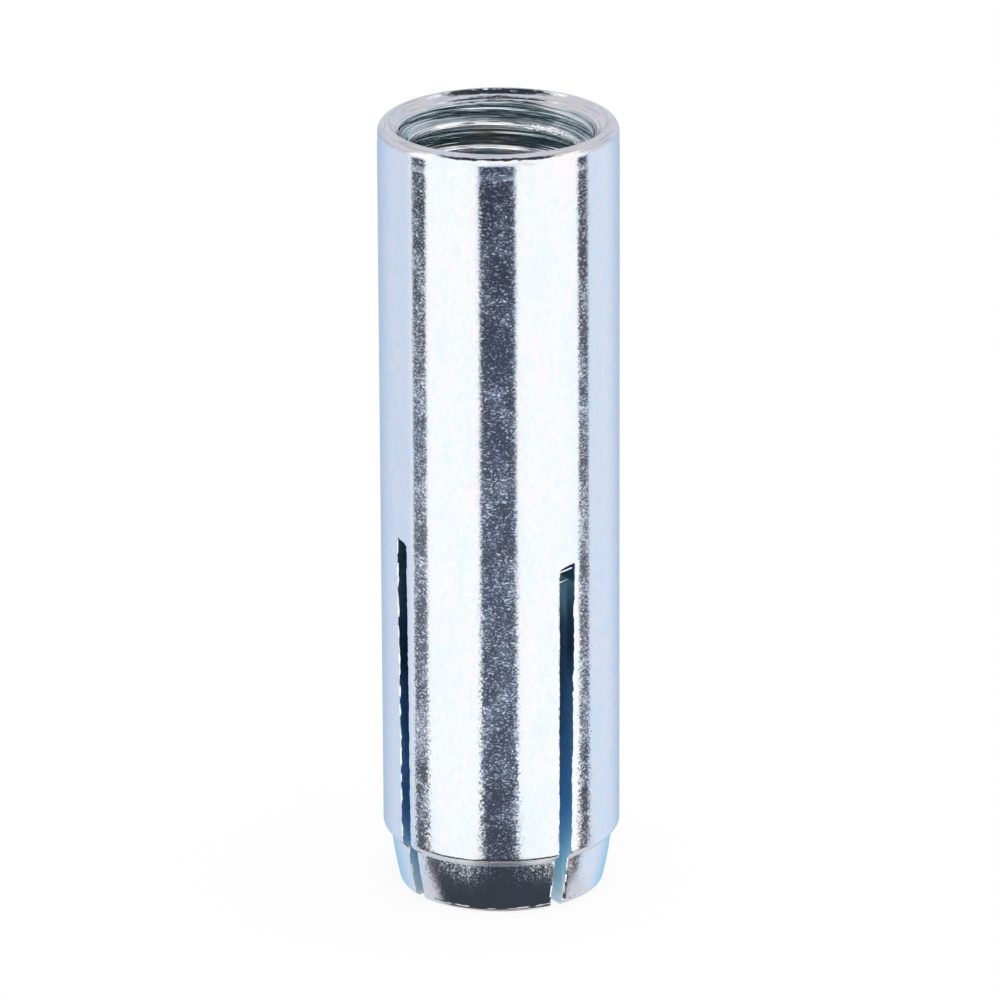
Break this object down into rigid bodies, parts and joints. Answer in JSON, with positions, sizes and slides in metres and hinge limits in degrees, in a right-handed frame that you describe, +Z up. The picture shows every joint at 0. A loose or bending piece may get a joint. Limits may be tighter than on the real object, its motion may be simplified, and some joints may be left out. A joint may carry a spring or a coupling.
{
  "type": "drop in anchor",
  "caption": "Zinc-plated steel drop-in anchor: a tapped sleeve with a slotted, tapered end, and a cone plug inside that spreads its legs in a drilled hole.",
  "frame": {"origin": "centre of the slotted foot, on the ground that it stands on", "axes": "+Z up along the sleeve's axis, towards the tapped mouth; X and Y along the two saw cuts"},
  "size_m": [0.0194, 0.0194, 0.065],
  "materials": {
    "zinc_plate": "bright blue-white zinc plate",
    "plug_steel": "plain turned steel"
  },
  "bodies": {
    "root": {"sleeve": "zinc_plate", "expander_plug": "plug_steel"}
  },
  "joints": []
}
